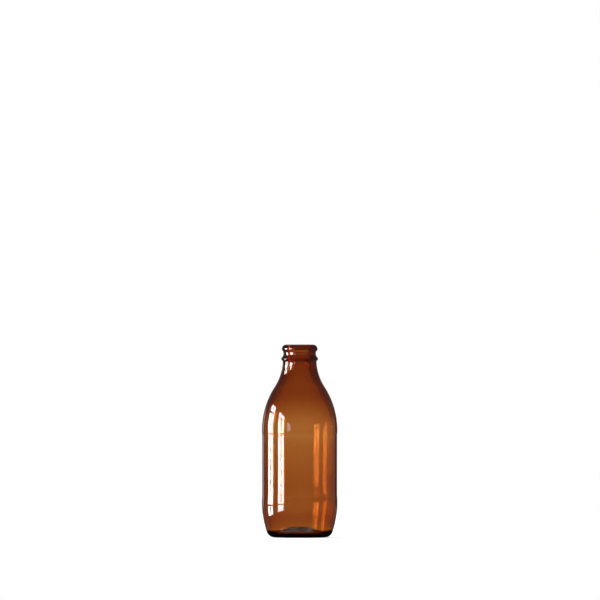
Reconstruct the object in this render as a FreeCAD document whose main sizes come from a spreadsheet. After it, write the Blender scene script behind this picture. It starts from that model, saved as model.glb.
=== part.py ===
import FreeCAD, Part
import math
import os
from types import SimpleNamespace

import Sketcher

# A small bottle of pressed and blown amber glass for mineral water, with a crown cap finish.
# It is one piece of glass: a straight body with a shallow label panel, a long rounded shoulder,
# a short neck with a stiffening ring, a beaded mouth, a tapering heel, a pushed-up base and
# a knurled ring that it stands on. It is empty and open.
#
# Frame: the origin is the centre of the base on the plane that the bottle stands on, +Z is up
# along the bottle's axis. Lengths are millimetres.

NODE = "bottle"

SIZES = (
    # alias, value, what it sizes
    ("bottle_height", 143.8, "standing plane to sealing surface"),
    ("body_diameter", 56.2, "over the bands above and below the label panel"),
    ("wall", 2.3, "body wall"),
    ("base_thickness", 5.2, "glass at the middle of the base"),
    # mouth and crown bead
    ("bore_diameter", 16.0, "straight bore of the mouth"),
    ("bore_length", 8.0, "straight bore, from the sealing surface down"),
    ("lip_radius", 0.9, "rounding from the bore to the sealing surface"),
    ("bead_diameter", 26.6, "crown bead"),
    ("bead_crown", 3.3, "outer rounding of the bead's top"),
    ("bead_land", 0.3, "straight band at the bead's widest"),
    ("bead_under", 1.3, "outer rounding of the bead's underside"),
    ("bead_height", 6.0, "sealing surface to the end of the bead's underside"),
    ("finish_diameter", 24.25, "recess between the bead and the ring"),
    # stiffening ring below the bead
    ("ring_diameter", 28.1, "ring before its edge is rounded"),
    ("ring_drop", 10.9, "sealing surface to the ring's edge"),
    ("ring_upper_flank", 2.95, "height of the ring's upper slope"),
    ("ring_lower_flank", 1.55, "height of the ring's lower slope"),
    ("ring_edge", 0.6, "rounding of the ring's edge"),
    ("ring_root", 1.5, "rounding where the ring leaves the neck"),
    # neck and shoulder
    ("neck_diameter", 25.0, "neck at the ring"),
    ("shoulder_length", 52.9, "ring's edge down to the top of the straight body"),
    ("shoulder_radius", 59.5, "outer arc of the shoulder"),
    # label panel
    ("panel_depth", 0.22, "depth of the label panel"),
    ("panel_ramp", 1.5, "height of the slope at each end of the panel"),
    ("panel_shoulder_band", 2.1, "band between the panel and the shoulder"),
    ("panel_heel_band", 3.0, "band between the heel and the panel"),
    # heel and base
    ("heel_height", 25.8, "standing plane to the foot of the straight body"),
    ("heel_radius", 69.3, "outer arc of the tapering heel"),
    ("heel_corner", 6.2, "rounding from the heel to the standing ring"),
    ("inner_corner", 4.5, "rounding inside, from the wall to the base"),
    ("bearing_width", 0.8, "flat of the standing ring"),
    ("push_up_depth", 3.2, "height of the push-up under the base"),
    ("push_up_slope", 17.0, "slope of the push-up's flank, in degrees"),
    ("push_up_blend", 5.0, "rounding at the top of the push-up, outside"),
    ("dome_flat", 15.0, "flat at the top of the base, inside the bottle"),
    ("dome_blend", 8.0, "rounding round that flat"),
    # knurls of the standing ring
    ("knurl_count", 56, "knurls round the standing ring"),
    ("knurl_depth", 0.35, "channels between the knurls"),
    ("channel_width", 1.1, "channel at the standing plane"),
    ("channel_overrun", 2.6, "channel past each side of the standing ring's flat"),
)

CLEAR = 1.0    # how far a cutting outline reaches past the glass
CLOSE = 1e-3   # how closely an edge has to match the circle it is looked up by
LIP_SHARE = 0.8    # the most of the bead's flat top that the lip's rounding may take


# ---------------------------------------------------------------- sheet and sketches

def make_sheet(doc):
    """Put the sizes in the document's sheet, each cell under its alias."""
    sheet = doc.addObject("Spreadsheet::Sheet", "Sizes")
    for row, (alias, value, note) in enumerate(SIZES, start=1):
        sheet.set(f"A{row}", alias)
        sheet.set(f"B{row}", str(value))
        sheet.set(f"C{row}", note)
        sheet.setAlias(f"B{row}", alias)
    doc.recompute()
    return sheet


def origin_feature(body, role):
    """Return one of the body's own origin planes or axes by its role."""
    return next(item for item in body.Origin.OriginFeatures if item.Role == role)


def vector(point):
    """Return a sketch point as a vector."""
    return FreeCAD.Vector(point[0], point[1], 0)


class Outline:
    """A closed outline of lines and arcs in a sketch on one of the body's origin planes."""

    def __init__(self, body, name, start, plane="XZ_Plane"):
        self.sketch = body.newObject("Sketcher::SketchObject", name)
        self.sketch.AttachmentSupport = (origin_feature(body, plane), [""])
        self.sketch.MapMode = "FlatFace"
        self.first = start
        self.pen = start
        self.sides = []    # (geometry, its point where the side starts, where it ends)

    def line(self, end, along=None, smooth=False):
        """Draw a line on from the pen, Horizontal or Vertical if along says so."""
        side = self.sketch.addGeometry(Part.LineSegment(vector(self.pen), vector(end)), False)
        self._chain((side, 1, 2), end, smooth)
        if along:
            self.sketch.addConstraint(Sketcher.Constraint(along, side))
        return side

    def arc(self, centre, end, smooth=True, clockwise=False):
        """Draw an arc on from the pen, about centre, smooth with the side before it."""
        radius = math.dist(centre, end)
        angles = [math.atan2(p[1] - centre[1], p[0] - centre[0]) for p in (self.pen, end)]
        if clockwise:
            angles.reverse()
        circle = Part.Circle(vector(centre), FreeCAD.Vector(0, 0, 1), radius)
        side = self.sketch.addGeometry(Part.ArcOfCircle(circle, *angles), False)
        self._chain((side, 2, 1) if clockwise else (side, 1, 2), end, smooth)
        return side

    def close(self):
        """Draw the last side back to the first point and join the two."""
        side = self.line(self.first)
        first = self.sides[0]
        self.sketch.addConstraint(Sketcher.Constraint("Coincident", side, 2, first[0], first[1]))
        return side

    def _chain(self, side, end, smooth):
        """Join a new side to the one before it."""
        if self.sides:
            before = self.sides[-1]
            kind = "Tangent" if smooth else "Coincident"
            self.sketch.addConstraint(
                Sketcher.Constraint(kind, before[0], before[2], side[0], side[1]))
        self.sides.append(side)
        self.pen = end

    def upright(self, side, at_start=False):
        """Keep an arc's centre level with its end or its start, so that it is upright there."""
        point = self.sides[side][1 if at_start else 2]
        self.sketch.addConstraint(Sketcher.Constraint("Horizontal", side, 3, side, point))

    def mirrored(self, first, second):
        """Keep two points, each a geometry and a point on it, mirrored in the upright axis."""
        self.sketch.addConstraint(Sketcher.Constraint("Symmetric", *first, *second, -2))

    def on_axis(self, side, upright=True):
        """Keep the start of a side on the upright or the level axis of the sketch."""
        axis = -2 if upright else -1
        self.sketch.addConstraint(
            Sketcher.Constraint("PointOnObject", side, self.sides[side][1], axis))

    def size(self, kind, side, rule):
        """Size a radius, a run (X or Y) or an angle of a side by a rule on the sheet."""
        geometry, start, end = self.sides[side]
        shape = self.sketch.Geometry[geometry]
        if kind == "Radius":
            constraint = Sketcher.Constraint("Radius", geometry, shape.Radius)
        elif kind == "Angle":
            run = shape.EndPoint - shape.StartPoint
            constraint = Sketcher.Constraint("Angle", geometry, math.atan2(run.y, run.x))
        else:
            constraint = self._run(kind, (geometry, start), (geometry, end))
        self._bind(constraint, rule)

    def place(self, kind, side, rule):
        """Place the end of a side at a distance from the origin, in X or Y, by a rule."""
        geometry, _, end = self.sides[side]
        self._bind(self._run(kind, (-1, 1), (geometry, end)), rule)

    def measure(self, name, side):
        """Name the distance in X from the origin to the end of a side, without setting it."""
        geometry, _, end = self.sides[side]
        index = self.sketch.addConstraint(self._run("DistanceX", (-1, 1), (geometry, end)))
        self.sketch.setDriving(index, False)
        self.sketch.renameConstraint(index, name)

    def _run(self, kind, start, end):
        """Return the constraint on the run in X or Y between two points."""
        low = self.sketch.getPoint(*start)
        high = self.sketch.getPoint(*end)
        run = high.x - low.x if kind == "DistanceX" else high.y - low.y
        return Sketcher.Constraint(kind, *start, *end, run)

    def _bind(self, constraint, rule):
        """Add a size to the sketch and bind it to the sheet."""
        index = self.sketch.addConstraint(constraint)
        self.sketch.setExpression(f"Constraints[{index}]", rule)


# ---------------------------------------------------------------- geometry of the outlines

def s_curve(low, high, low_radius):
    """Two arcs that leave low upright and reach high upright.

    Returns the second arc's radius and the point where the arcs meet, for a first arc of
    low_radius. The curve goes in where high is nearer the axis, and out where it isn't.
    """
    across = abs(high[0] - low[0])
    up = high[1] - low[1]
    both = (across ** 2 + up ** 2) / (2 * across)
    turn = math.atan2(up, both - across)
    inward = math.copysign(1, high[0] - low[0])
    meet = (low[0] + inward * low_radius * (1 - math.cos(turn)),
            low[1] + low_radius * math.sin(turn))
    return both - low_radius, meet


def along(start, end, length):
    """Return the point at a length from start towards end."""
    share = length / math.dist(start, end)
    return (start[0] + share * (end[0] - start[0]), start[1] + share * (end[1] - start[1]))


def bearing_radius(size):
    """Return the radius where the standing ring's flat meets the rounding up to the heel."""
    inset = size.heel_radius - size.heel_corner
    rise = size.heel_height - size.heel_corner
    return size.body_diameter / 2 - size.heel_radius + math.sqrt(inset ** 2 - rise ** 2)


def push_up_radii(size):
    """Return the radii of the push-up's mouth and of the flat at its top."""
    mouth = bearing_radius(size) - size.bearing_width
    return mouth, mouth - size.push_up_depth / math.tan(math.radians(size.push_up_slope))


def outer_outline(body, size):
    """Draw half of the bottle's outside below the bead, from the push-up to the finish."""
    radius = size.body_diameter / 2
    heel_centre = (radius - size.heel_radius, size.heel_height)
    corner_x = bearing_radius(size)
    corner_centre = (corner_x, size.heel_corner)
    heel_start = along(heel_centre, corner_centre, size.heel_radius)
    mouth, flat = push_up_radii(size)
    ring_z = size.bottle_height - size.ring_drop
    shoulder_z = ring_z - size.shoulder_length
    neck_x = size.neck_diameter / 2
    neck_radius, neck_start = s_curve((radius, shoulder_z), (neck_x, ring_z),
                                      size.shoulder_radius)
    finish_x = size.finish_diameter / 2
    top_z = size.bottle_height - size.bead_height

    draw = Outline(body, "outer_profile", (0, size.push_up_depth))
    push_up = draw.line((flat, size.push_up_depth), "Horizontal")
    flank = draw.line((mouth, 0))
    bearing = draw.line((corner_x, 0), "Horizontal")
    corner = draw.arc(corner_centre, heel_start)
    heel = draw.arc(heel_centre, (radius, size.heel_height))
    wall = draw.line((radius, shoulder_z), "Vertical", smooth=True)
    shoulder = draw.arc((radius - size.shoulder_radius, shoulder_z), neck_start)
    neck = draw.arc((neck_x + neck_radius, ring_z), (neck_x, ring_z), clockwise=True)
    step = draw.line((finish_x, ring_z), "Horizontal")
    finish = draw.line((finish_x, top_z), "Vertical")
    top = draw.line((0, top_z), "Horizontal")
    axis = draw.close()

    draw.on_axis(push_up)
    draw.on_axis(bearing, upright=False)
    draw.on_axis(axis)
    draw.upright(neck)
    draw.place("DistanceY", push_up, "Sizes.push_up_depth")
    draw.size("Angle", flank, "-Sizes.push_up_slope * 1 deg")
    draw.size("DistanceX", bearing, "Sizes.bearing_width")
    draw.size("Radius", corner, "Sizes.heel_corner")
    draw.size("Radius", heel, "Sizes.heel_radius")
    draw.place("DistanceX", heel, "Sizes.body_diameter / 2")
    draw.place("DistanceY", heel, "Sizes.heel_height")
    draw.place("DistanceY", wall,
               "Sizes.bottle_height - Sizes.ring_drop - Sizes.shoulder_length")
    draw.size("Radius", shoulder, "Sizes.shoulder_radius")
    draw.place("DistanceX", neck, "Sizes.neck_diameter / 2")
    draw.place("DistanceY", step, "Sizes.bottle_height - Sizes.ring_drop")
    draw.place("DistanceX", step, "Sizes.finish_diameter / 2")
    draw.place("DistanceY", finish, "Sizes.bottle_height - Sizes.bead_height")
    draw.measure("bearing_radius", bearing)
    return draw.sketch


def bead_outline(body, size):
    """Draw half of the crown bead, with its rounded top and its hollow underside."""
    foot = (size.finish_diameter / 2, size.bottle_height - size.bead_height)
    edge_x = size.bead_diameter / 2
    crown_z = size.bottle_height - size.bead_crown
    land = (edge_x, crown_z - size.bead_land)
    # from the foot up, the underside is a hollow arc and then the rounding below the land
    hollow, meet = s_curve((land[0], -land[1]), (foot[0], -foot[1]), size.bead_under)
    meet = (meet[0], -meet[1])
    crown_x = edge_x - size.bead_crown

    draw = Outline(body, "bead_profile", (0, foot[1]))
    floor = draw.line(foot, "Horizontal")
    root = draw.arc((foot[0] + hollow, foot[1]), meet, smooth=False, clockwise=True)
    under = draw.arc((edge_x - size.bead_under, land[1]), land)
    band = draw.line((edge_x, crown_z), "Vertical", smooth=True)
    crown = draw.arc((crown_x, crown_z), (crown_x, size.bottle_height))
    top = draw.line((0, size.bottle_height), "Horizontal", smooth=True)
    axis = draw.close()

    draw.on_axis(floor)
    draw.on_axis(axis)
    draw.upright(root, at_start=True)
    draw.place("DistanceX", floor, "Sizes.finish_diameter / 2")
    draw.place("DistanceY", floor, "Sizes.bottle_height - Sizes.bead_height")
    draw.size("Radius", under, "Sizes.bead_under")
    draw.place("DistanceX", band, "Sizes.bead_diameter / 2")
    draw.size("DistanceY", band, "Sizes.bead_land")
    draw.size("Radius", crown, "Sizes.bead_crown")
    draw.place("DistanceY", top, "Sizes.bottle_height")
    return draw.sketch


def ring_outline(body, size):
    """Draw half of the stiffening ring, a V with a long upper and a short lower slope."""
    ring_z = size.bottle_height - size.ring_drop
    low_z = ring_z - size.ring_lower_flank
    high_z = ring_z + size.ring_upper_flank

    draw = Outline(body, "ring_profile", (0, low_z))
    floor = draw.line((size.neck_diameter / 2, low_z), "Horizontal")
    lower = draw.line((size.ring_diameter / 2, ring_z))
    upper = draw.line((size.finish_diameter / 2, high_z))
    top = draw.line((0, high_z), "Horizontal")
    axis = draw.close()

    draw.on_axis(floor)
    draw.on_axis(axis)
    draw.place("DistanceX", floor, "Sizes.neck_diameter / 2")
    draw.place("DistanceX", lower, "Sizes.ring_diameter / 2")
    draw.place("DistanceY", lower, "Sizes.bottle_height - Sizes.ring_drop")
    draw.size("DistanceY", lower, "Sizes.ring_lower_flank")
    draw.place("DistanceX", upper, "Sizes.finish_diameter / 2")
    draw.size("DistanceY", upper, "Sizes.ring_upper_flank")
    return draw.sketch


def panel_outline(body, size):
    """Draw the section of the label panel, which is cut from the straight body."""
    radius = size.body_diameter / 2
    floor_x = radius - size.panel_depth
    low_z = size.heel_height + size.panel_heel_band
    high_z = size.bottle_height - size.ring_drop - size.shoulder_length - size.panel_shoulder_band

    draw = Outline(body, "panel_profile", (radius, low_z))
    lower = draw.line((floor_x, low_z + size.panel_ramp))
    floor = draw.line((floor_x, high_z - size.panel_ramp), "Vertical")
    upper = draw.line((radius, high_z))
    above = draw.line((radius + CLEAR, high_z), "Horizontal")
    outside = draw.line((radius + CLEAR, low_z), "Vertical")
    draw.sketch.addConstraint(Sketcher.Constraint("Horizontal", draw.close()))

    draw.place("DistanceX", floor, "Sizes.body_diameter / 2 - Sizes.panel_depth")
    draw.size("DistanceY", lower, "Sizes.panel_ramp")
    draw.size("DistanceY", upper, "Sizes.panel_ramp")
    draw.size("DistanceX", upper, "Sizes.panel_depth")
    draw.place("DistanceY", upper, "Sizes.bottle_height - Sizes.ring_drop"
               " - Sizes.shoulder_length - Sizes.panel_shoulder_band")
    draw.size("DistanceX", above, str(CLEAR))
    draw.place("DistanceY", outside, "Sizes.heel_height + Sizes.panel_heel_band")
    draw.sketch.addConstraint(Sketcher.Constraint("Vertical", lower, 1, upper, 2))
    return draw.sketch


def cavity_outline(body, size):
    """Draw half of the bottle's inside, which follows the outside at the wall's thickness."""
    inner_x = size.body_diameter / 2 - size.wall
    heel_centre = (size.body_diameter / 2 - size.heel_radius, size.heel_height)
    inner_heel = size.heel_radius - size.wall
    dome = (size.dome_flat / 2, size.push_up_depth + size.base_thickness)
    slope = math.radians(size.push_up_slope)
    down = (math.cos(slope), -math.sin(slope))
    out = (math.sin(slope), math.cos(slope))
    # the corner's centre runs parallel to the flank until it is clear of the heel's arc
    start = (dome[0] + size.inner_corner * out[0] - heel_centre[0],
             dome[1] + size.inner_corner * out[1] - heel_centre[1])
    reach = inner_heel - size.inner_corner
    half = start[0] * down[0] + start[1] * down[1]
    run = -half + math.sqrt(half ** 2 - start[0] ** 2 - start[1] ** 2 + reach ** 2)
    foot = (dome[0] + run * down[0], dome[1] + run * down[1])
    corner_centre = (foot[0] + size.inner_corner * out[0], foot[1] + size.inner_corner * out[1])
    heel_start = along(heel_centre, corner_centre, inner_heel)
    shoulder_z = size.bottle_height - size.ring_drop - size.shoulder_length
    bore = (size.bore_diameter / 2, size.bottle_height - size.bore_length)
    inner_shoulder = size.shoulder_radius - size.wall
    neck_radius, neck_start = s_curve((inner_x, shoulder_z), bore, inner_shoulder)
    open_z = size.bottle_height + CLEAR

    draw = Outline(body, "cavity_profile", (0, dome[1]))
    flat = draw.line(dome, "Horizontal")
    flank = draw.line(foot)
    corner = draw.arc(corner_centre, heel_start)
    heel = draw.arc(heel_centre, (inner_x, size.heel_height))
    wall = draw.line((inner_x, shoulder_z), "Vertical", smooth=True)
    shoulder = draw.arc((inner_x - inner_shoulder, shoulder_z), neck_start)
    neck = draw.arc((bore[0] + neck_radius, bore[1]), bore, clockwise=True)
    mouth = draw.line((bore[0], open_z), "Vertical", smooth=True)
    top = draw.line((0, open_z), "Horizontal")
    axis = draw.close()

    draw.on_axis(flat)
    draw.on_axis(axis)
    draw.place("DistanceX", flat, "Sizes.dome_flat / 2")
    draw.place("DistanceY", flat, "Sizes.push_up_depth + Sizes.base_thickness")
    draw.size("Angle", flank, "-Sizes.push_up_slope * 1 deg")
    draw.size("Radius", corner, "Sizes.inner_corner")
    draw.size("Radius", heel, "Sizes.heel_radius - Sizes.wall")
    draw.place("DistanceX", heel, "Sizes.body_diameter / 2 - Sizes.wall")
    draw.place("DistanceY", heel, "Sizes.heel_height")
    draw.place("DistanceY", wall,
               "Sizes.bottle_height - Sizes.ring_drop - Sizes.shoulder_length")
    draw.size("Radius", shoulder, "Sizes.shoulder_radius - Sizes.wall")
    draw.place("DistanceX", neck, "Sizes.bore_diameter / 2")
    draw.place("DistanceY", neck, "Sizes.bottle_height - Sizes.bore_length")
    draw.place("DistanceY", mouth, f"Sizes.bottle_height + {CLEAR}")
    return draw.sketch


def channel_outline(body, size):
    """Draw the V section of one channel between two knurls, across the standing ring."""
    half = size.channel_width / 2

    draw = Outline(body, "channel_profile", (-half, -CLEAR), plane="YZ_Plane")
    below = draw.line((half, -CLEAR))
    right = draw.line((half, 0), "Vertical")
    rise = draw.line((0, size.knurl_depth))
    fall = draw.line((-half, 0))
    draw.close()

    draw.mirrored((below, 1), (below, 2))
    draw.mirrored((right, 2), (fall, 2))
    draw.on_axis(rise, upright=False)
    draw.on_axis(fall)
    draw.place("DistanceX", below, "Sizes.channel_width / 2")
    draw.place("DistanceY", below, str(-CLEAR))
    draw.place("DistanceY", rise, "Sizes.knurl_depth")
    return draw.sketch


# ---------------------------------------------------------------- features of the body

def turn(body, kind, name, sketch):
    """Turn an outline round the bottle's axis to add glass (Revolution) or cut it (Groove)."""
    before = volume(body)
    feature = body.newObject(f"PartDesign::{kind}", name)
    feature.Profile = sketch
    feature.ReferenceAxis = (sketch, ["V_Axis"])
    feature.Angle = 360
    settle(feature, before, adds=kind == "Revolution")


def volume(body):
    """Return the volume that the body has so far."""
    return body.Tip.Shape.Volume if body.Tip else 0.0


def settle(feature, before, adds):
    """Recompute, and see that a feature added or took away glass as it should."""
    feature.Document.recompute()
    change = feature.Shape.Volume - before
    if (change > 0) != adds:
        raise RuntimeError(f"{feature.Name} changed the volume by {change:.1f} mm3")
    return feature


def round_edges(body, name, rule, places):
    """Round the circular edges that lie at the given places by a rule on the sheet.

    Each place is the range of the edge's radius and the range of its height.
    """
    names = []
    for index, edge in enumerate(body.Shape.Edges, start=1):
        if not isinstance(edge.Curve, Part.Circle):
            continue
        radius, height = edge.Curve.Radius, edge.Curve.Center.z
        for (r_low, r_high), (z_low, z_high) in places:
            if r_low <= radius <= r_high and z_low <= height <= z_high:
                names.append(f"Edge{index}")
    if len(names) != len(places):
        raise RuntimeError(f"{name} found {len(names)} edges for {len(places)} places")
    base = body.Tip
    feature = body.newObject("PartDesign::Fillet", name)
    feature.Base = (base, names)
    feature.setExpression("Radius", rule)
    body.Document.recompute()
    return feature


def at(value):
    """Return the narrow range round a value."""
    return (value - CLOSE, value + CLOSE)


def add_finish(body, size):
    """Add the crown bead and the stiffening ring, and round the ring."""
    turn(body, "Revolution", "crown_bead", bead_outline(body, size))
    turn(body, "Revolution", "ring", ring_outline(body, size))
    ring_z = size.bottle_height - size.ring_drop
    low_z = ring_z - size.ring_lower_flank
    high_z = ring_z + size.ring_upper_flank
    ring_x = size.ring_diameter / 2
    round_edges(body, "ring_edge_rounding", "Sizes.ring_edge", [(at(ring_x), at(ring_z))])
    neck_range = (size.neck_diameter / 2, ring_x - size.ring_edge)
    round_edges(body, "ring_root_rounding", "Sizes.ring_root",
                [(at(size.finish_diameter / 2), at(high_z)),
                 (neck_range, (low_z, ring_z - size.ring_edge))])


def hollow_out(body, size):
    """Cut the inside, and round the mouth's lip and the dome of the base."""
    turn(body, "Groove", "cavity", cavity_outline(body, size))
    sealing = "Sizes.bead_diameter / 2 - Sizes.bead_crown - Sizes.bore_diameter / 2"
    round_edges(body, "lip_rounding", f"min(Sizes.lip_radius; {LIP_SHARE} * ({sealing}))",
                [(at(size.bore_diameter / 2), at(size.bottle_height))])
    round_edges(body, "dome_rounding", "Sizes.dome_blend",
                [(at(size.dome_flat / 2), at(size.push_up_depth + size.base_thickness))])


def finish_base(body, size):
    """Round the push-up and cut the channels that leave the knurls on the standing ring."""
    _, flat = push_up_radii(size)
    round_edges(body, "push_up_rounding", "Sizes.push_up_blend",
                [(at(flat), at(size.push_up_depth))])

    sketch = channel_outline(body, size)
    overrun = "Sizes.bearing_width + Sizes.channel_overrun"
    sketch.setExpression("AttachmentOffset.Base.z",
                         f"outer_profile.Constraints.bearing_radius - ({overrun}) * 1 mm")
    before = volume(body)
    channel = body.newObject("PartDesign::Pocket", "channel")
    channel.Profile = sketch
    channel.Reversed = True
    channel.setExpression("Length", f"{overrun} + Sizes.channel_overrun")
    settle(channel, before, adds=False)

    before = volume(body)
    knurling = body.newObject("PartDesign::PolarPattern", "knurling")
    knurling.Originals = [channel]
    knurling.Axis = (origin_feature(body, "Z_Axis"), [""])
    knurling.Angle = 360
    knurling.setExpression("Occurrences", "Sizes.knurl_count")
    body.Tip = knurling
    settle(knurling, before, adds=False)


def make_bottle(doc, size):
    """Build the bottle, the one solid of the part."""
    body = doc.addObject("PartDesign::Body", NODE)
    body.Label = NODE
    turn(body, "Revolution", "outside", outer_outline(body, size))
    add_finish(body, size)
    turn(body, "Groove", "label_panel", panel_outline(body, size))
    hollow_out(body, size)
    finish_base(body, size)
    return body


# ---------------------------------------------------------------- checks and export

def check(doc, bodies):
    """Stop if an object failed, a sketch is loose or a body isn't one valid solid."""
    for item in doc.Objects:
        if {"Invalid", "Error"} & set(item.State):
            raise RuntimeError(f"{item.Name} failed: {item.State}")
        if item.isDerivedFrom("Sketcher::SketchObject") and item.solve() != 0:
            raise RuntimeError(f"{item.Name} doesn't solve")
        if item.isDerivedFrom("Sketcher::SketchObject") and not item.FullyConstrained:
            raise RuntimeError(f"{item.Name} is loose")
    for body in bodies:
        shape = body.Shape
        if shape.isNull() or not shape.isValid() or len(shape.Solids) != 1:
            raise RuntimeError(f"{body.Label} isn't one valid solid")


def main():
    """Build the document and write each body to parts/."""
    doc = FreeCAD.newDocument("mineral_water_bottle")
    sheet = make_sheet(doc)
    size = SimpleNamespace(**{alias: sheet.get(alias) for alias, _, _ in SIZES})
    bodies = [make_bottle(doc, size)]
    doc.recompute()
    check(doc, bodies)

    os.makedirs("parts", exist_ok=True)
    for body in bodies:
        body.Shape.exportStep(f"parts/{body.Label}.step")
        box = body.Shape.BoundBox
        print(f"{body.Label}: {body.Shape.Volume / 1000:.1f} ml of glass, "
              f"{box.XLength:.2f} x {box.YLength:.2f} x {box.ZLength:.2f} mm, "
              f"{len(body.Shape.Faces)} faces")


main()
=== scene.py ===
"""Dress the mineral water bottle: one piece of pressed and blown amber glass, empty and open.

The glass is drawn as one closed section from the middle of the base, up the inside, over the
mouth and down the outside, and spun about the bottle's axis. All lengths are metres, in the
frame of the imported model.
"""
import logging
import math
from dataclasses import dataclass, field
from enum import Enum

import bmesh
import bpy
from mathutils import Matrix, Vector

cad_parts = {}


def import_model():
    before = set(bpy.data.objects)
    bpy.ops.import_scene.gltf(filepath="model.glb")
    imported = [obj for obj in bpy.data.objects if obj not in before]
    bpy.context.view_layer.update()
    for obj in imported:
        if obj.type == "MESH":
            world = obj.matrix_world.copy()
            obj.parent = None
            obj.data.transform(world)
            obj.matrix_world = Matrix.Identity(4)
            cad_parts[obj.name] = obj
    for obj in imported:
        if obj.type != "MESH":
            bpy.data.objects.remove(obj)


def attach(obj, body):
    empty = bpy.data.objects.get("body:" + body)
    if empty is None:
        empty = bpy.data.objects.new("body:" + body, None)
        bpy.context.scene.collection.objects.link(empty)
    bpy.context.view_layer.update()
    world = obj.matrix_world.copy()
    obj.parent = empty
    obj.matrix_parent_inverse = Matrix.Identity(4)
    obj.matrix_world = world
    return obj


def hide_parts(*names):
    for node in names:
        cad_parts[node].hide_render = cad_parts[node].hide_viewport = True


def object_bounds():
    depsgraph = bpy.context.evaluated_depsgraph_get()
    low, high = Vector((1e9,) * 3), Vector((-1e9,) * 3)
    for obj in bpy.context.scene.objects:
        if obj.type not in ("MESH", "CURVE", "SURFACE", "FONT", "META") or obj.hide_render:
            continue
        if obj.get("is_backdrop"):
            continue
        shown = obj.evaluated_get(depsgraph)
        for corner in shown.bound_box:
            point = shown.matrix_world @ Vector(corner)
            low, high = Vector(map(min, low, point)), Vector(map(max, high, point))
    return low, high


log = logging.getLogger("bottle")

MM = 0.001
AXIS_UP = Vector((0.0, 0.0, 1.0))
TOWARDS_CAMERA = Vector((0.0, -1.0, 0.0))


# ---------------------------------------------------------------- drawing a section

@dataclass
class Corner:
    """A corner of the section that is rounded once the section is drawn.

    Attributes:
        vertex: The corner's vertex.
        radius: The rounding's radius, in metres.
        segments: How many edges the rounding gets.
    """

    vertex: bmesh.types.BMVert
    radius: float
    segments: int


class Pen:
    """Draw a section in the XZ plane, one edge after another, with bmesh operators."""

    def __init__(self, mesh: bmesh.types.BMesh, start: tuple[float, float]) -> None:
        """Put the pen down.

        Args:
            mesh: The mesh to draw in.
            start: The first point, as its radius and its height.
        """
        self.mesh = mesh
        self.corners: list[Corner] = []
        self.trail: list[bmesh.types.BMVert] = []
        self._reach(bmesh.ops.create_vert(mesh, co=(start[0], 0.0, start[1]))["vert"][0])

    def _reach(self, vertex: bmesh.types.BMVert) -> None:
        """Move the pen's tip to a new vertex."""
        self.tip = vertex
        self.trail.append(vertex)

    def line(self, radius: float, height: float, pieces: int = 1) -> None:
        """Draw a straight line to a point.

        Args:
            radius: The point's distance from the axis.
            height: The point's height.
            pieces: How many edges the line is split into.
        """
        step = (Vector((radius, 0.0, height)) - self.tip.co) / pieces
        for _ in range(pieces):
            grown = bmesh.ops.extrude_vert_indiv(self.mesh, verts=[self.tip])["verts"][0]
            bmesh.ops.translate(self.mesh, verts=[grown], vec=step)
            self._reach(grown)

    def arc(self, centre: tuple[float, float], turn: float, pieces: int) -> None:
        """Draw an arc round a centre.

        Args:
            centre: The arc's centre, as its radius and its height.
            turn: The angle in radians, anticlockwise with the axis on the left.
            pieces: How many edges the arc is split into.
        """
        pivot = Vector((centre[0], 0.0, centre[1]))
        for _ in range(pieces):
            grown = bmesh.ops.extrude_vert_indiv(self.mesh, verts=[self.tip])["verts"][0]
            turned = Matrix.Rotation(turn / pieces, 3, TOWARDS_CAMERA)
            bmesh.ops.rotate(self.mesh, cent=pivot, matrix=turned, verts=[grown])
            self._reach(grown)

    def corner(self, radius: float, segments: int = 5) -> None:
        """Mark the tip as a corner to round with a radius.

        Args:
            radius: The rounding's radius, in metres.
            segments: How many edges the rounding gets.
        """
        self.corners.append(Corner(self.tip, radius, segments))

    def round_corners(self) -> None:
        """Round every marked corner."""
        for corner in self.corners:
            low, high = (edge.other_vert(corner.vertex).co for edge in corner.vertex.link_edges)
            here = corner.vertex.co
            turn = math.pi - (low - here).angle(high - here)
            bmesh.ops.bevel(
                self.mesh, geom=[corner.vertex], offset=corner.radius * math.tan(turn / 2),
                offset_type="OFFSET", affect="VERTICES", segments=corner.segments,
                profile=0.5, material=-1, clamp_overlap=True)


def s_curve(across: float, up: float, first: float) -> tuple[float, float]:
    """Work out two arcs that start and end upright and meet smoothly.

    Args:
        across: How far the curve moves sideways.
        up: How far it rises.
        first: The first arc's radius.

    Returns:
        The second arc's radius, and the angle that each arc turns through.
    """
    both = (across ** 2 + up ** 2) / (2 * across)
    return both - first, math.atan2(up, both - across)


# ---------------------------------------------------------------- finishes

@dataclass(frozen=True)
class AmberGlass:
    """Amber soda-lime glass, which takes its colour from its depth.

    Attributes:
        absorb: Absorption of red, green and blue light, in 1/m.
        ior: Refractive index.
        headroom: How far the density stands over the strongest absorption, so that no colour of
            the volume falls to 0.
    """

    absorb: tuple[float, float, float] = (243.0, 520.0, 943.0)
    ior: float = 1.52
    headroom: float = 1.02

    def material(self) -> bpy.types.Material:
        """Make the material.

        Returns:
            The glass material, with its colour in the volume.
        """
        material = bpy.data.materials.new("amber_glass")
        material.use_nodes = True
        nodes, links = material.node_tree.nodes, material.node_tree.links
        shader = nodes["Principled BSDF"]
        shader.inputs["Base Color"].default_value = (1.0, 1.0, 1.0, 1.0)
        shader.inputs["Metallic"].default_value = 0.0
        shader.inputs["Roughness"].default_value = 0.0
        shader.inputs["IOR"].default_value = self.ior
        shader.inputs["Transmission Weight"].default_value = 1.0
        volume = nodes.new("ShaderNodeVolumeAbsorption")
        density = max(self.absorb) * self.headroom
        volume.inputs["Density"].default_value = density
        volume.inputs["Color"].default_value = (
            *(1.0 - share / density for share in self.absorb), 1.0)
        links.new(volume.outputs["Volume"], nodes["Material Output"].inputs["Volume"])
        return material


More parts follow.
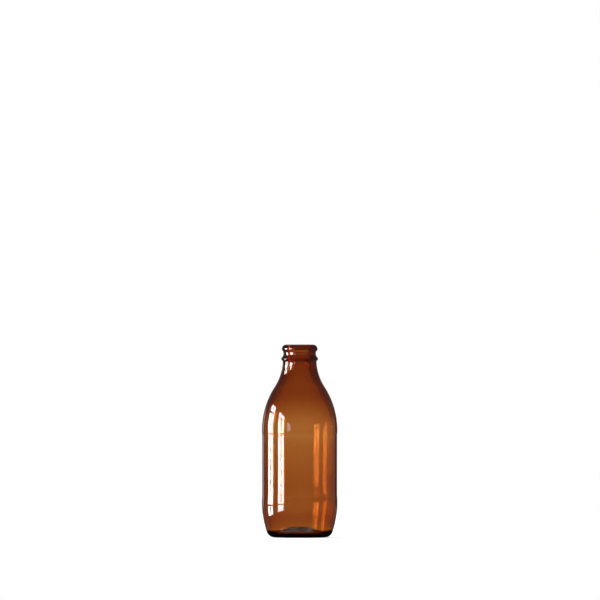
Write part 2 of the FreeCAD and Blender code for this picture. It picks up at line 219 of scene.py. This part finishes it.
# ---------------------------------------------------------------- the bottle

@dataclass
class Bottle:
    """The bottle's glass. Radii and heights are metres from the axis and the standing plane."""

    radius: float
    height: float
    finish: AmberGlass
    wall: float = 2.0 * MM
    # how much thicker than that the blown wall is, measured level, by height
    swell: tuple[tuple[float, float], ...] = (
        (5.5 * MM, 0.0), (9.0 * MM, 0.4 * MM), (13.0 * MM, 0.75 * MM), (18.0 * MM, 0.65 * MM),
        (25.0 * MM, 0.5 * MM), (37.0 * MM, 0.75 * MM), (54.0 * MM, 0.55 * MM),
        (68.0 * MM, 0.37 * MM), (80.0 * MM, 0.0), (89.0 * MM, 0.12 * MM),
        (99.0 * MM, 0.65 * MM), (107.5 * MM, 1.23 * MM), (113.0 * MM, 1.1 * MM),
        (121.0 * MM, 0.6 * MM), (131.0 * MM, 0.1 * MM), (138.0 * MM, 0.0), (143.8 * MM, 0.0),
    )
    # mouth and crown bead
    bore: float = 8.7 * MM
    bore_length: float = 8.0 * MM
    lip: float = 0.9 * MM
    bead: float = 13.3 * MM
    bead_crown: float = 3.3 * MM
    bead_land: float = 0.3 * MM
    bead_under: float = 1.3 * MM
    bead_height: float = 6.0 * MM
    recess: float = 12.125 * MM
    # stiffening ring
    ring: float = 14.05 * MM
    ring_drop: float = 10.9 * MM
    ring_upper: float = 2.95 * MM
    ring_lower: float = 1.55 * MM
    ring_edge: float = 0.6 * MM
    ring_root: float = 1.5 * MM
    # neck and shoulder
    neck: float = 12.5 * MM
    neck_straight: float = 1.6 * MM
    shoulder_length: float = 52.9 * MM
    shoulder: float = 59.5 * MM
    # label panel
    panel_depth: float = 0.22 * MM
    panel_shoulder_ramp: float = 1.05 * MM
    panel_shoulder_edge: float = 1.4 * MM
    panel_shoulder_band: float = 2.1 * MM
    panel_heel_ramp: float = 1.6 * MM
    panel_heel_edge: float = 2.5 * MM
    panel_heel_band: float = 3.0 * MM
    panel_margin: float = 1.7 * MM
    # heel and base
    heel_height: float = 25.8 * MM
    heel: float = 69.3 * MM
    heel_corner: float = 6.2 * MM
    inner_corner: float = 3.6 * MM
    bearing: float = 0.8 * MM
    push_up: float = 3.2 * MM
    push_up_slope: float = math.radians(17.0)
    push_up_blend: float = 5.0 * MM
    base: float = 6.2 * MM
    dome_slope: float = math.radians(27.0)
    dome: float = 7.5 * MM
    dome_blend: float = 8.0 * MM
    # knurls
    knurls: int = 56
    knurl_depth: float = 0.35 * MM
    channel: float = 1.1 * MM
    facets_per_knurl: int = 6
    # the dome of the base, which the swell leaves alone, by its share of the radius
    dome_share: float = 0.75
    # what lies nearer the axis than this share of the bore isn't wall
    bore_share: float = 0.9
    merge: float = 0.002 * MM

    def build(self) -> bpy.types.Object:
        """Draw the section, spin it and cut the knurls.

        Returns:
            The bottle's object, with its place in its mesh.
        """
        mesh = bmesh.new()
        pen = Pen(mesh, (0.0, self.push_up + self.base))
        self._draw_inside(pen)
        self._draw_finish(pen)
        self._draw_outside(pen)
        pen.round_corners()
        steps = self.knurls * self.facets_per_knurl
        bmesh.ops.spin(
            mesh, geom=mesh.verts[:] + mesh.edges[:], cent=(0.0, 0.0, 0.0), axis=AXIS_UP,
            angle=math.tau, steps=steps, use_merge=True, use_duplicate=False,
            use_normal_flip=False)
        bmesh.ops.remove_doubles(mesh, verts=mesh.verts[:], dist=self.merge)
        self._cut_knurls(mesh)
        self._swell_wall(mesh)
        bmesh.ops.recalc_face_normals(mesh, faces=mesh.faces[:])
        for face in mesh.faces:
            face.smooth = True
        data = bpy.data.meshes.new("glass_bottle")
        mesh.to_mesh(data)
        mesh.free()
        piece = bpy.data.objects.new("glass_bottle", data)
        bpy.context.scene.collection.objects.link(piece)
        return piece

    def dress(self, piece: bpy.types.Object) -> None:
        """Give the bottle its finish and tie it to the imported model.

        Args:
            piece: The bottle's object.
        """
        piece.data.materials.append(self.finish.material())
        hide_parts("bottle")
        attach(piece, "root")

    @property
    def shoulder_foot(self) -> float:
        """Height of the top of the straight body."""
        return self.height - self.ring_drop - self.shoulder_length

    def _heel_arcs(self, inset: float, corner: float) -> tuple[float, float]:
        """Work out where a heel's arc gives way to its corner, level at the bottom.

        Args:
            inset: How far the arc lies inside the outer one.
            corner: The corner's radius.

        Returns:
            The radius of the corner's lowest point and the angle of the heel's arc.
        """
        reach = self.heel - inset - corner
        rise = self.heel_height - corner
        return self.radius - self.heel + math.sqrt(reach ** 2 - rise ** 2), math.asin(rise / reach)

    def _draw_inside(self, pen: Pen) -> None:
        """Draw the dome of the base, the wall and the bore."""
        dome = pen.tip.co.z
        pen.line(self.dome, dome, pieces=3)
        pen.corner(self.dome_blend, segments=6)
        # the corner's centre runs parallel to the flank until it meets the heel's inner arc
        slope = self.dome_slope
        down = Vector((math.cos(slope), -math.sin(slope)))
        out = Vector((math.sin(slope), math.cos(slope)))
        heel_centre = Vector((self.radius - self.heel, self.heel_height))
        start = Vector((self.dome, dome)) + self.inner_corner * out - heel_centre
        inner_heel = self.heel - self.wall
        reach = inner_heel - self.inner_corner
        half = start.dot(down)
        run = -half + math.sqrt(half ** 2 - start.length_squared + reach ** 2)
        foot = Vector((self.dome, dome)) + run * down
        centre = foot + self.inner_corner * out
        pen.line(foot.x, foot.y, pieces=6)
        heel_start = math.atan2(centre.y - heel_centre.y, centre.x - heel_centre.x)
        pen.arc(tuple(centre), heel_start + slope + math.pi / 2, pieces=12)
        pen.arc(tuple(heel_centre), -heel_start, pieces=16)
        inner = self.radius - self.wall
        pen.line(inner, self.shoulder_foot, pieces=22)
        inner_shoulder = self.shoulder - self.wall
        bore_foot = self.height - self.bore_length
        neck, turn = s_curve(inner - self.bore, bore_foot - self.shoulder_foot, inner_shoulder)
        pen.arc((inner - inner_shoulder, self.shoulder_foot), turn, pieces=24)
        pen.arc((self.bore + neck, bore_foot), -turn, pieces=18)
        pen.line(self.bore, self.height, pieces=2)
        pen.corner(self.lip, segments=8)

    def _draw_finish(self, pen: Pen) -> None:
        """Draw the sealing surface, the crown bead, the recess and the ring."""
        crown_centre = self.bead - self.bead_crown
        pen.line(crown_centre, self.height)
        pen.arc((crown_centre, self.height - self.bead_crown), -math.pi / 2, pieces=10)
        land = self.height - self.bead_crown - self.bead_land
        pen.line(self.bead, land)
        foot = self.height - self.bead_height
        hollow, turn = s_curve(self.bead - self.recess, land - foot, self.bead_under)
        pen.arc((self.bead - self.bead_under, land), -turn, pieces=6)
        pen.arc((self.recess + hollow, foot), turn, pieces=7)
        ring = self.height - self.ring_drop
        pen.line(self.recess, ring + self.ring_upper)
        pen.corner(self.ring_root)
        pen.line(self.ring, ring)
        pen.corner(self.ring_edge)
        pen.line(self.neck, ring - self.ring_lower)
        pen.corner(self.ring_root)

    def _draw_outside(self, pen: Pen) -> None:
        """Draw the neck, the shoulder, the label panel, the heel and the push-up."""
        ring = self.height - self.ring_drop
        neck, turn = s_curve(self.radius - self.neck, self.shoulder_length, self.shoulder)
        straight = self.ring_lower + self.neck_straight
        spared = math.asin(straight / neck)
        pen.line(self.neck + neck * (1 - math.cos(spared)), ring - straight)
        pen.arc((self.neck + neck, ring), turn - spared, pieces=20)
        pen.arc((self.radius - self.shoulder, self.shoulder_foot), -turn, pieces=24)
        top = self.shoulder_foot - self.panel_shoulder_band
        bottom = self.heel_height + self.panel_heel_band
        floor = self.radius - self.panel_depth
        pen.line(self.radius, top)
        pen.corner(self.panel_shoulder_edge)
        pen.line(floor, top - self.panel_shoulder_ramp)
        pen.corner(self.panel_shoulder_edge)
        # a short face next to each ramp keeps the long ones evenly shaded
        pen.line(floor, top - self.panel_shoulder_ramp - self.panel_margin)
        pen.line(floor, bottom + self.panel_heel_ramp + self.panel_margin, pieces=3)
        pen.line(floor, bottom + self.panel_heel_ramp)
        pen.corner(self.panel_heel_edge)
        pen.line(self.radius, bottom)
        pen.corner(self.panel_heel_edge)
        pen.line(self.radius, self.heel_height)
        bearing, turn = self._heel_arcs(0.0, self.heel_corner)
        pen.arc((self.radius - self.heel, self.heel_height), -turn, pieces=16)
        pen.arc((bearing, self.heel_corner), turn - math.pi / 2, pieces=18)
        mouth = bearing - self.bearing
        pen.line(mouth, 0.0, pieces=3)
        flat = mouth - self.push_up / math.tan(self.push_up_slope)
        pen.line(flat, self.push_up, pieces=14)
        pen.corner(self.push_up_blend, segments=6)
        pen.line(0.0, self.push_up, pieces=3)

    def _cut_knurls(self, mesh: bmesh.types.BMesh) -> None:
        """Raise the glass of the standing ring into the channels between the knurls."""
        bearing, _ = self._heel_arcs(0.0, self.heel_corner)
        pitch = math.tau / self.knurls
        for vertex in mesh.verts:
            radius = math.hypot(vertex.co.x, vertex.co.y)
            if vertex.co.z > self.knurl_depth or abs(radius - bearing) > self.heel_corner:
                continue
            angle = math.atan2(vertex.co.y, vertex.co.x)
            off = abs(angle - round(angle / pitch) * pitch) * radius
            raised = self.knurl_depth * max(0.0, 1.0 - off / (self.channel / 2))
            vertex.co.z = max(vertex.co.z, raised)

    def _extra_wall(self, height: float) -> float:
        """Work out how much thicker the wall is at a height.

        Args:
            height: The height.

        Returns:
            The extra thickness, on a smooth curve through the swell's values.
        """
        marks = self.swell
        if not marks[0][0] < height < marks[-1][0]:
            return 0.0
        index = max(i for i, mark in enumerate(marks) if mark[0] <= height)
        (low, before), (high, after) = marks[index], marks[index + 1]
        slopes = [self._swell_slope(index), self._swell_slope(index + 1)]
        share = (height - low) / (high - low)
        span = high - low
        return ((2 * share ** 3 - 3 * share ** 2 + 1) * before
                + (share ** 3 - 2 * share ** 2 + share) * span * slopes[0]
                + (3 * share ** 2 - 2 * share ** 3) * after
                + (share ** 3 - share ** 2) * span * slopes[1])

    def _swell_slope(self, index: int) -> float:
        """Work out the swell's slope at one of its values, level at both ends."""
        if index in (0, len(self.swell) - 1):
            return 0.0
        (low, before), (high, after) = self.swell[index - 1], self.swell[index + 1]
        return (after - before) / (high - low)

    def _swell_wall(self, mesh: bmesh.types.BMesh) -> None:
        """Move the inside of the wall in or out to the blown wall's thickness."""
        for vertex in mesh.verts:
            radius = math.hypot(vertex.co.x, vertex.co.y)
            if not self._is_inside(radius, vertex.co.z):
                continue
            share = (radius - self._extra_wall(vertex.co.z)) / radius
            vertex.co.x *= share
            vertex.co.y *= share

    def _is_inside(self, radius: float, height: float) -> bool:
        """Say whether a point of the surface is on the inside of the wall."""
        dome = height < self.push_up + self.base
        inmost = self.dome_share * self.radius if dome else self.bore_share * self.bore
        if height < self.swell[0][0] or radius < inmost:
            return False
        if height > self.height - self.bore_length:
            return radius < self.bore + self.lip
        return radius < self._outer_radius(height) - self.wall / 2

    def _outer_radius(self, height: float) -> float:
        """Work out the outside's radius at a height, without the ring and the panel."""
        neck_foot = self.height - self.ring_drop
        if height < self.heel_height:
            drop = self.heel_height - height
            return self.radius - self.heel + math.sqrt(self.heel ** 2 - drop ** 2)
        if height < self.shoulder_foot:
            return self.radius
        rise = height - self.shoulder_foot
        neck, turn = s_curve(self.radius - self.neck, self.shoulder_length, self.shoulder)
        if rise < self.shoulder * math.sin(turn):
            return self.radius - self.shoulder + math.sqrt(self.shoulder ** 2 - rise ** 2)
        drop = max(0.0, neck_foot - height)
        return self.neck + neck - math.sqrt(neck ** 2 - drop ** 2)


# ---------------------------------------------------------------- the studio

class Ray(Enum):
    """How a ray reached what it meets, as the light path names it."""

    SEEN = "Is Camera Ray"
    MIRRORED = "Is Glossy Ray"
    THROUGH = "Is Transmission Ray"


@dataclass(frozen=True)
class Window:
    """A tall lit window in the wall left of the bottle.

    Attributes:
        name: The start of its lamps' names.
        span: Its far and near edges along the wall, in lengths of the wall's distance, with +
            away from the camera.
        span_through: The edges that show through the glass.
        panes: The lower and upper edges of its rows of panes, in metres.
        mirrored: Its brightness in a reflection, where 1 is white.
        through: Its brightness through the glass.
    """

    name: str
    span: tuple[float, float]
    span_through: tuple[float, float]
    panes: tuple[tuple[float, float], ...]
    mirrored: float
    through: float


def halves(span: tuple[float, float],
           mullion: float) -> tuple[tuple[float, float], tuple[float, float]]:
    """Split a window's span at its mullion.

    Args:
        span: Its far and near edges.
        mullion: The mullion's width.

    Returns:
        The far half's far and near edges, and the near half's.
    """
    far, near = span
    middle = (far + near) / 2
    return (far, middle + mullion / 2), (middle - mullion / 2, near)


# edges of the tall windows' panes by height, in metres
PANES = ((-0.267, -0.062), (-0.036, 0.492), (0.536, 0.710))


@dataclass
class WindowWall:
    """The wall left of the bottle, with its windows and their bars."""

    distance: float = 1.5
    windows: tuple[Window, ...] = (
        Window("window_far", (0.418, 0.008), (0.33, 0.008), PANES, mirrored=19.0, through=30.0),
        Window("window_near", (-0.362, -0.843), (-0.362, -0.843), PANES, mirrored=21.0,
               through=33.0),
        Window("hatch", (-1.235, -1.881), (-1.235, -1.881), ((0.06, 0.50),), mirrored=4.0,
               through=0.0),
    )
    mullion: float = 0.045

    def hang(self) -> None:
        """Hang two lamps for each pane of each window, either side of its mullion."""
        for window in self.windows:
            for row, pane in enumerate(window.panes):
                for column, half in enumerate(halves(window.span, self.mullion)):
                    self._lamp(f"{window.name}_{row}_{column}", half, pane, window.mirrored)

    def _lamp(self, name: str, half: tuple[float, float], pane: tuple[float, float],
              radiance: float) -> None:
        """Hang one rectangular lamp flat on the wall, which the glass only mirrors.

        Args:
            name: The lamp's name.
            half: Its far and near edges, in lengths of the wall's distance.
            pane: Its lower and upper edges' heights.
            radiance: Its brightness.
        """
        start, end = (edge * self.distance for edge in half)
        low, high = pane
        lamp = bpy.data.lights.new(name, "AREA")
        lamp.shape = "RECTANGLE"
        lamp.size = start - end
        lamp.size_y = high - low
        lamp.energy = radiance * math.pi * lamp.size * lamp.size_y
        holder = bpy.data.objects.new(name, lamp)
        holder.location = (-self.distance, (start + end) / 2, (low + high) / 2)
        holder.rotation_euler = Vector((1.0, 0.0, 0.0)).to_track_quat("-Z", "Y").to_euler()
        holder.visible_camera = False
        holder.visible_transmission = False
        bpy.context.scene.collection.objects.link(holder)


@dataclass(frozen=True)
class Horizon:
    """The brightness of the surroundings for one kind of ray.

    Attributes:
        ring: Pairs of an azimuth, in degrees from straight behind the bottle with + to the
            right, and a brightness.
        low: Elevations, in degrees, between which the ring's lower edge fades in.
        high: Elevations between which its upper edge fades out.
        below: Brightness under the ring.
        above: Brightness over it.
    """

    ring: tuple[tuple[float, float], ...]
    low: tuple[float, float]
    high: tuple[float, float]
    below: float
    above: float


@dataclass
class Tree:
    """A shader's nodes, with the sums and choices that the studio's shaders share."""

    nodes: bpy.types.Nodes
    links: bpy.types.NodeLinks

    @classmethod
    def of(cls, owner: bpy.types.Material | bpy.types.World) -> "Tree":
        """Open the nodes of a material or a world.

        Args:
            owner: The material or the world.

        Returns:
            Its tree.
        """
        owner.use_nodes = True
        return cls(owner.node_tree.nodes, owner.node_tree.links)

    def feed(self, slot: bpy.types.NodeSocket, value: float | bpy.types.NodeSocket) -> None:
        """Give a socket a fixed number or a link."""
        if isinstance(value, float):
            slot.default_value = value
        else:
            self.links.new(value, slot)

    def math(self, operation: str,
             *values: float | bpy.types.NodeSocket) -> bpy.types.NodeSocket:
        """Add a maths node.

        Args:
            operation: What the node works out.
            values: Its numbers, each fixed or linked.

        Returns:
            The result.
        """
        node = self.nodes.new("ShaderNodeMath")
        node.operation = operation
        for slot, value in zip(node.inputs, values):
            self.feed(slot, value)
        return node.outputs[0]

    def choose(self, switch: bpy.types.NodeSocket, off: float | bpy.types.NodeSocket,
               on: float | bpy.types.NodeSocket) -> bpy.types.NodeSocket:
        """Choose between two levels.

        Args:
            switch: 1 for the second level, 0 for the first.
            off: The first level.
            on: The second level.

        Returns:
            The level chosen.
        """
        mix = self.nodes.new("ShaderNodeMix")
        self.links.new(switch, mix.inputs["Factor"])
        self.feed(mix.inputs["A"], off)
        self.feed(mix.inputs["B"], on)
        return mix.outputs["Result"]

    def ramp(self, value: bpy.types.NodeSocket, start: float, end: float,
             first: float = 0.0, last: float = 1.0, smooth: bool = False) -> bpy.types.NodeSocket:
        """Map a value's run between two marks to a run between two levels.

        Args:
            value: The value.
            start: The mark where the first level ends.
            end: The mark where the last level starts.
            first: The first level.
            last: The last level.
            smooth: Whether the run eases in and out.

        Returns:
            The level.
        """
        node = self.nodes.new("ShaderNodeMapRange")
        if smooth:
            node.interpolation_type = "SMOOTHSTEP"
        for name, level in (("From Min", start), ("From Max", end),
                            ("To Min", first), ("To Max", last)):
            node.inputs[name].default_value = level
        self.links.new(value, node.inputs["Value"])
        return node.outputs[0]

    def within(self, value: bpy.types.NodeSocket,
               span: tuple[float, float]) -> bpy.types.NodeSocket:
        """Test whether a value lies in a span, higher end first: 1 if it does and 0 if not."""
        high, low = span
        return self.math("COMPARE", value, (high + low) / 2, (high - low) / 2)

    def parts(self, output: str) -> tuple[bpy.types.NodeSocket, bpy.types.Node]:
        """Take one of the places or directions that a shader knows, whole and in its parts.

        Args:
            output: Its name among the texture coordinates.

        Returns:
            The whole, and the node that gives its X, Y and Z.
        """
        place = self.nodes.new("ShaderNodeTexCoord")
        split = self.nodes.new("ShaderNodeSeparateXYZ")
        self.links.new(place.outputs[output], split.inputs[0])
        return place.outputs[output], split

    def length(self, vector: bpy.types.NodeSocket) -> bpy.types.NodeSocket:
        """Work out a vector's length."""
        node = self.nodes.new("ShaderNodeVectorMath")
        node.operation = "LENGTH"
        self.links.new(vector, node.inputs[0])
        return node.outputs["Value"]

    def surface(self, otherwise: bpy.types.NodeSocket, through: bpy.types.NodeSocket,
                path: bpy.types.Node) -> None:
        """Finish a surface that rays through the glass see in another way.

        Args:
            otherwise: The shader that all other rays see.
            through: The shader that rays through the glass see.
            path: The light path.
        """
        mix = self.nodes.new("ShaderNodeMixShader")
        self.links.new(path.outputs[Ray.THROUGH.value], mix.inputs["Fac"])
        self.links.new(otherwise, mix.inputs[1])
        self.links.new(through, mix.inputs[2])
        self.links.new(mix.outputs[0], self.nodes["Material Output"].inputs["Surface"])


@dataclass
class Studio:
    """The camera, the floor, the lamps and the surroundings."""

    distance: float = 7.0
    field_height: float = 447.7 * MM
    sensor: float = 36.0
    aside: float = 0.26 * MM
    level: float = 177.05 * MM
    floor_radius: float = 0.75
    floor_segments: int = 96
    floor_colour: float = 0.8
    floor_roughness: float = 0.9
    floor_glow: float = 0.4
    floor_through: float = 1.0
    # painted shadow of the bottle on the floor, which only rays through the glass see: radii, from
    # where it is darkest to where it ends
    floor_painted_shadow: tuple[float, float] = (24.0 * MM, 60.0 * MM)
    floor_shadow_level: float = 0.1
    # the glowing sheet that paints the reflections in the base, dark as painted shade where it is
    # cut and as a painted shadow at its foot, from where it is whole to where it is cut: radii,
    # and angles to the right
    paper_segments: int = 64
    paper_painted_shade: float = 0.01
    paper_foot_shadow: tuple[float, float] = (33.0 * MM, 28.0 * MM)
    paper_reach: tuple[float, float] = (37.0 * MM, 41.0 * MM)
    paper_right: tuple[float, float] = (math.radians(30.0), math.radians(34.0))
    paper_left: tuple[float, float] = (math.radians(-44.0), math.radians(-48.0))
    crease_scale: float = 130.0
    crease_reflection_levels: tuple[float, float] = (0.1, 1.7)
    room_light: float = 0.95
    wall: WindowWall = field(default_factory=WindowWall)
    reflected: Horizon = Horizon(
        ring=((-180.0, 0.11), (-150.0, 0.08), (-50.0, 0.05), (-36.0, 0.05), (-32.0, 0.85),
              (-26.0, 0.85), (-22.0, 0.02), (34.0, 0.02), (40.0, 0.15), (80.0, 0.2),
              (140.0, 0.12), (180.0, 0.11)),
        low=(-3.0, -1.5), high=(4.5, 8.0), below=0.12, above=0.1)
    through: Horizon = Horizon(
        ring=((-180.0, 1.0), (-24.0, 0.9), (-19.0, 0.7), (-13.0, 0.7), (-9.0, 1.0),
              (10.0, 1.0), (13.0, 0.5), (26.0, 0.4), (32.0, 0.7), (40.0, 1.0), (180.0, 1.0)),
        low=(-60.0, -40.0), high=(9.0, 14.0), below=0.54, above=0.54)

    def set_camera(self) -> None:
        """Place the camera level in front of the bottle."""
        camera = bpy.data.cameras.new("camera")
        camera.sensor_width = self.sensor
        camera.lens = self.sensor * self.distance / self.field_height
        camera.clip_end = 10 * self.distance
        holder = bpy.data.objects.new("camera", camera)
        holder.location = (self.aside, -self.distance, self.level)
        holder.rotation_euler = (math.pi / 2, 0.0, 0.0)
        bpy.context.scene.collection.objects.link(holder)
        bpy.context.scene.camera = holder

    @staticmethod
    def _disc(name: str, radius: float, segments: int,
              finish: str) -> tuple[bpy.types.Object, Tree]:
        """Lay a disc on the standing plane, under the bottle's axis.

        Args:
            name: The disc's name.
            radius: Its radius.
            segments: How many edges its rim has.
            finish: Its material's name.

        Returns:
            The disc, and its material's nodes.
        """
        mesh = bmesh.new()
        bmesh.ops.create_circle(mesh, cap_ends=True, segments=segments, radius=radius)
        data = bpy.data.meshes.new(name)
        mesh.to_mesh(data)
        mesh.free()
        disc = bpy.data.objects.new(name, data)
        bpy.context.scene.collection.objects.link(disc)
        material = bpy.data.materials.new(finish)
        disc.data.materials.append(material)
        return disc, Tree.of(material)

    def lay_floor(self) -> None:
        """Lay a round white floor that keeps the bottle's shadow."""
        floor, tree = self._disc(
            "floor", self.floor_radius, self.floor_segments, "floor_white")
        shader = tree.nodes["Principled BSDF"]
        shader.inputs["Base Color"].default_value = (*(self.floor_colour,) * 3, 1.0)
        shader.inputs["Roughness"].default_value = self.floor_roughness
        shader.inputs["Specular IOR Level"].default_value = 0.0
        shader.inputs["Emission Color"].default_value = (1.0, 1.0, 1.0, 1.0)
        path = tree.nodes.new("ShaderNodeLightPath")
        glow = tree.choose(path.outputs[Ray.SEEN.value], 0.0, self.floor_glow)
        tree.links.new(glow, shader.inputs["Emission Strength"])
        place, _ = tree.parts("Object")
        # painted shadow: rays through the glass see a glow that a set gradient darkens towards the
        # bottle's foot, not a traced shadow
        through_shadow_glow = tree.nodes.new("ShaderNodeEmission")
        through_shadow_strength = tree.ramp(
            tree.length(place), *self.floor_painted_shadow, self.floor_shadow_level, self.floor_through)
        tree.links.new(through_shadow_strength, through_shadow_glow.inputs["Strength"])
        tree.surface(shader.outputs[0], through_shadow_glow.outputs[0], path)
        floor.visible_glossy = False
        floor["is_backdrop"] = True

    def lay_reflection_card(self) -> None:
        """Lay a glowing creased sheet before the bottle, which only its reflections show: a
        painted reflection, dark at its foot as a painted shadow.
        """
        paper, tree = self._disc(
            "paper", self.paper_reach[1], self.paper_segments, "paper_white")
        tree.nodes.remove(tree.nodes["Principled BSDF"])
        glow = tree.nodes.new("ShaderNodeEmission")
        tree.links.new(self._painted_sheet_light(tree), glow.inputs["Strength"])
        path = tree.nodes.new("ShaderNodeLightPath")
        clear = tree.nodes.new("ShaderNodeBsdfTransparent")
        tree.surface(glow.outputs[0], clear.outputs[0], path)
        paper.visible_camera = False
        paper.visible_diffuse = False
        paper.visible_shadow = False
        paper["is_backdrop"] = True

    def _painted_sheet_light(self, tree: Tree) -> bpy.types.NodeSocket:
        """Work out how bright the sheet is: a painted reflection, creased, and cut to a sector
        before the bottle, with a painted shadow at its foot.

        Args:
            tree: The sheet's nodes.

        Returns:
            The brightness.
        """
        place, split = tree.parts("Object")
        before = tree.math("MULTIPLY", split.outputs["Y"], -1.0)
        azimuth = tree.math("ARCTAN2", split.outputs["X"], before)
        away = tree.length(place)
        creases = tree.nodes.new("ShaderNodeTexVoronoi")
        creases.inputs["Scale"].default_value = self.crease_scale
        tree.links.new(place, creases.inputs["Vector"])
        bright = tree.ramp(creases.outputs["Color"], 0.0, 1.0, *self.crease_reflection_levels)
        # painted shadow under the heel and painted shade outside the sector: the sheet falls to
        # its dark level there
        for value, (kept, cut) in ((away, self.paper_reach), (away, self.paper_foot_shadow),
                                   (azimuth, self.paper_right), (azimuth, self.paper_left)):
            bright = tree.choose(tree.ramp(value, kept, cut), bright, self.paper_painted_shade)
        return bright

    def surround(self) -> None:
        """Set the surroundings: white to the camera, and cards round the bottle."""
        world = bpy.data.worlds.new("studio")
        bpy.context.scene.world = world
        tree = Tree.of(world)
        path = tree.nodes.new("ShaderNodeLightPath")
        _, split = tree.parts("Generated")
        azimuth = tree.math("ARCTAN2", split.outputs["X"], split.outputs["Y"])
        turn = tree.ramp(azimuth, -math.pi, math.pi)
        mirrored, through = (self._brightness(tree, horizon, turn, split.outputs["Z"])
                             for horizon in (self.reflected, self.through))
        # the windows show through the glass only by way of a reflection inside it
        bounced = tree.math("GREATER_THAN", path.outputs["Glossy Depth"], 0.5)
        panes = tree.math("MULTIPLY", bounced, self._panes(tree, split))
        through = tree.math("ADD", through, panes)
        level: float | bpy.types.NodeSocket = self.room_light
        for ray, seen in ((Ray.MIRRORED, mirrored), (Ray.THROUGH, through), (Ray.SEEN, 1.0)):
            level = tree.choose(path.outputs[ray.value], level, seen)
        tree.links.new(level, tree.nodes["Background"].inputs["Strength"])
        tree.nodes["Background"].inputs["Color"].default_value = (1.0, 1.0, 1.0, 1.0)

    def _panes(self, tree: Tree, direction: bpy.types.Node) -> bpy.types.NodeSocket:
        """Work out how bright the windows are through the glass in a direction.

        Args:
            tree: The world's nodes.
            direction: The node that gives the direction's parts.

        Returns:
            The brightness, 0 between the panes.
        """
        left = tree.math("MULTIPLY", direction.outputs["X"], -1.0)
        along, up = (tree.math("DIVIDE", direction.outputs[axis], left) for axis in "YZ")
        across: float | bpy.types.NodeSocket = 0.0
        for window in self.wall.windows:
            for half in halves(window.span_through, self.wall.mullion):
                lit = tree.math("MULTIPLY", tree.within(along, half), window.through)
                across = tree.math("ADD", lit, across)
        rows: float | bpy.types.NodeSocket = 0.0
        for low, high in PANES:
            span = (high / self.wall.distance, low / self.wall.distance)
            rows = tree.math("ADD", tree.within(up, span), rows)
        on_wall = tree.math("GREATER_THAN", left, 0.0)
        lit = tree.math("MULTIPLY", across, rows)
        return tree.math("MULTIPLY", lit, on_wall)

    @staticmethod
    def _brightness(tree: Tree, horizon: Horizon, turn: bpy.types.NodeSocket,
                    rise: bpy.types.NodeSocket) -> bpy.types.NodeSocket:
        """Work out the brightness of the surroundings in a direction.

        Args:
            tree: The world's nodes.
            horizon: The brightness by azimuth and elevation.
            turn: The azimuth, where 0 to 1 is once round.
            rise: The sine of the elevation.

        Returns:
            The brightness.
        """
        ring = tree.nodes.new("ShaderNodeValToRGB")
        tree.links.new(turn, ring.inputs[0])
        stops = ring.color_ramp.elements
        stops.remove(stops[-1])
        for index, (angle, level) in enumerate(horizon.ring):
            place = (angle + 180.0) / 360.0
            stop = stops[0] if index == 0 else stops.new(place)
            stop.position = place
            stop.color = (level, level, level, 1.0)
        level = ring.outputs["Color"]
        for (start, end), past in ((reversed(horizon.low), horizon.below),
                                   (horizon.high, horizon.above)):
            edge = tree.ramp(rise, math.sin(math.radians(start)),
                             math.sin(math.radians(end)), smooth=True)
            level = tree.choose(edge, level, past)
        return level


def main() -> None:
    """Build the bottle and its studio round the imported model."""
    logging.basicConfig(level=logging.INFO, format="%(name)s: %(message)s")
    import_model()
    cad_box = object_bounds()
    low, high = (Vector(corner) for corner in cad_box)
    bottle = Bottle(radius=(high.x - low.x) / 2, height=high.z, finish=AmberGlass())
    piece = bottle.build()
    bottle.dress(piece)
    log.info("%s: %d faces", piece.name, len(piece.data.polygons))

    studio = Studio()
    studio.set_camera()
    studio.lay_floor()
    studio.lay_reflection_card()
    studio.wall.hang()
    studio.surround()
    bpy.context.scene.view_settings.view_transform = "Standard"


if __name__ == "__main__":
    main()
